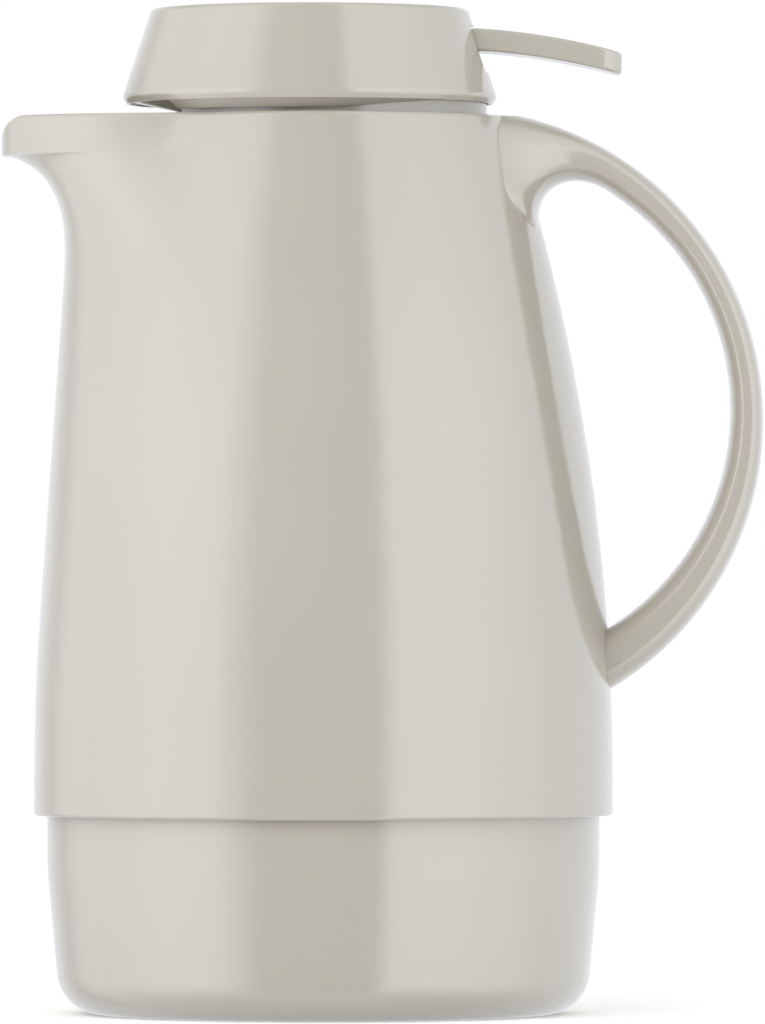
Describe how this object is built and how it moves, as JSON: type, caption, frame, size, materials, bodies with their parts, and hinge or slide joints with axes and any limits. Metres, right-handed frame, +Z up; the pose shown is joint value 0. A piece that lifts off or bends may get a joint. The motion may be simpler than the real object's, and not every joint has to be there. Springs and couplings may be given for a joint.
{
  "type": "thermal jug",
  "caption": "Glass-lined thermal jug with a tapered glossy beige shell, beak spout, crescent handle, screwed base and a conical lid with a thumb lever that lifts a spring-closed valve.",
  "frame": {"origin": "on the jug's upright axis, at the plane its foot stands on", "axes": "+Z up along the jug's axis; +X towards the handle and the thumb lever, -X towards the spout; +Y away from the picture's viewer"},
  "size_m": [0.1815, 0.138, 0.2393],
  "materials": {
    "shell_plastic": "smooth high-gloss beige-grey moulding",
    "inner_plastic": "satin moulding, not seen from outside",
    "seal_rubber": "translucent-white silicone",
    "cushion_rubber": "matt soft rubber",
    "silvered_glass": "clear glass silvered on its vacuum side",
    "spacer_felt": "pressed fibre pads",
    "spring_steel": "drawn stainless wire"
  },
  "bodies": {
    "base": {"base_cup": "shell_plastic", "support_cushion": "cushion_rubber"},
    "base_ring": {"base_seal": "seal_rubber"},
    "jug": {"outer_shell": "shell_plastic", "handle": "shell_plastic", "neck_gasket": "seal_rubber", "inner_flask": "silvered_glass", "outer_flask": "silvered_glass", "flask_spacers": "spacer_felt"},
    "lid_ring": {"stopper_gasket": "seal_rubber"},
    "lid": {"stopper_body": "shell_plastic", "lid_base": "shell_plastic", "lid_cap": "shell_plastic", "lever_pin": "spring_steel", "valve_spring": "spring_steel", "stem_oring": "seal_rubber"},
    "lever": {"thumb_lever": "shell_plastic"},
    "valve": {"valve_stem": "inner_plastic", "valve_seal": "seal_rubber", "spring_seat": "inner_plastic", "stem_head": "inner_plastic"}
  },
  "joints": [
    {"name": "shell_lift", "type": "slide", "parent": "base", "child": "base_ring", "axis": [0, 0, 1], "range_m": [0, 0.0201]},
    {"name": "shell_turn", "type": "hinge", "parent": "base_ring", "child": "jug", "pos_m": [0, 0, 0.0473], "axis": [0, 0, 1], "range_deg": [0, 360]},
    {"name": "lid_lift", "type": "slide", "parent": "jug", "child": "lid_ring", "axis": [0, 0, 1], "range_m": [0, 0.0401]},
    {"name": "lid_turn", "type": "hinge", "parent": "lid_ring", "child": "lid", "pos_m": [0, 0, 0.2064], "axis": [0, 0, 1], "range_deg": [0, 720]},
    {"name": "lever_press", "type": "hinge", "parent": "lid", "child": "lever", "pos_m": [0.022, 0, 0.2276], "axis": [0, 1, 0], "range_deg": [0, 12], "stiffness_Nm_per_rad": 0.145, "springref_deg": -31.51},
    {"name": "valve_lift", "type": "slide", "parent": "lid", "child": "valve", "axis": [0, 0, 1], "range_m": [0, 0.0047], "deforming": ["valve_spring"]}
  ],
  "couplings": [
    {"joint": "shell_lift", "follows": "shell_turn", "m_per_rad": 0.0031831},
    {"joint": "lid_lift", "follows": "lid_turn", "m_per_rad": 0.0031831},
    {"joint": "valve_lift", "follows": "lever_press", "m_per_rad": 0.022}
  ]
}
